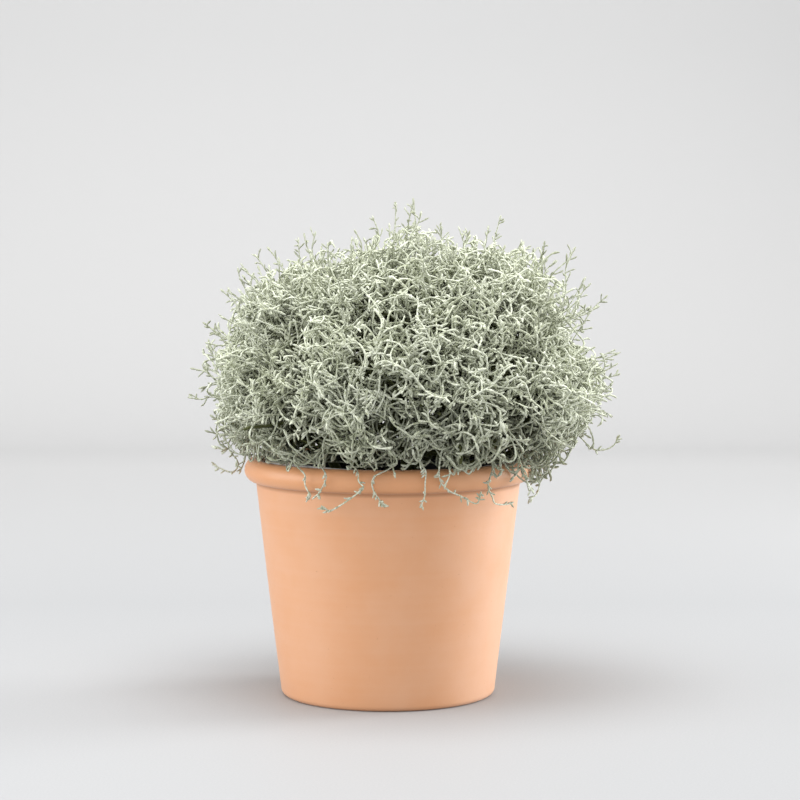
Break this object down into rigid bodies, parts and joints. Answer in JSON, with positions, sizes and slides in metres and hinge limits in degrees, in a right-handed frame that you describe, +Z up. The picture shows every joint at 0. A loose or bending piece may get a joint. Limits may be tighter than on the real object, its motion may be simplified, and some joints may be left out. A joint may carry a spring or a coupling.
{
  "type": "potted cushion bush",
  "caption": "Dome of wiry, forking silver-grey stems hanging over the rolled rim of a tapering clay pot, in a thin nursery pot with soil inside it",
  "frame": {"origin": "centre of the clay pot's underside, on the surface that the pot stands on", "axes": "+Z up along the pot's axis; -Y is the front, the side that the picture shows; +X is to the right seen from the front"},
  "size_m": [0.2266, 0.2127, 0.2628],
  "materials": {
    "clay": "unglazed matte terracotta, faintly banded, with small pits",
    "nursery_plastic": "thin dark grey moulded plastic, satin, with a pale worn lip",
    "soil": "damp crumbly peat",
    "foliage": "matte silver-grey stems covered in minute woolly scale leaves"
  },
  "bodies": {
    "root": {"clay_pot": "clay", "nursery_pot": "nursery_plastic", "soil": "soil", "bush_stem_01": "foliage", "bush_stem_02": "foliage", "bush_stem_03": "foliage", "bush_stem_04": "foliage", "bush_stem_05": "foliage", "bush_stem_06": "foliage", "bush_stem_07": "foliage", "bush_stem_08": "foliage", "bush_stem_09": "foliage", "bush_stem_10": "foliage", "bush_stem_11": "foliage", "bush_stem_12": "foliage", "bush_stem_13": "foliage", "bush_stem_14": "foliage", "bush_stem_15": "foliage", "bush_stem_16": "foliage"}
  },
  "joints": []
}
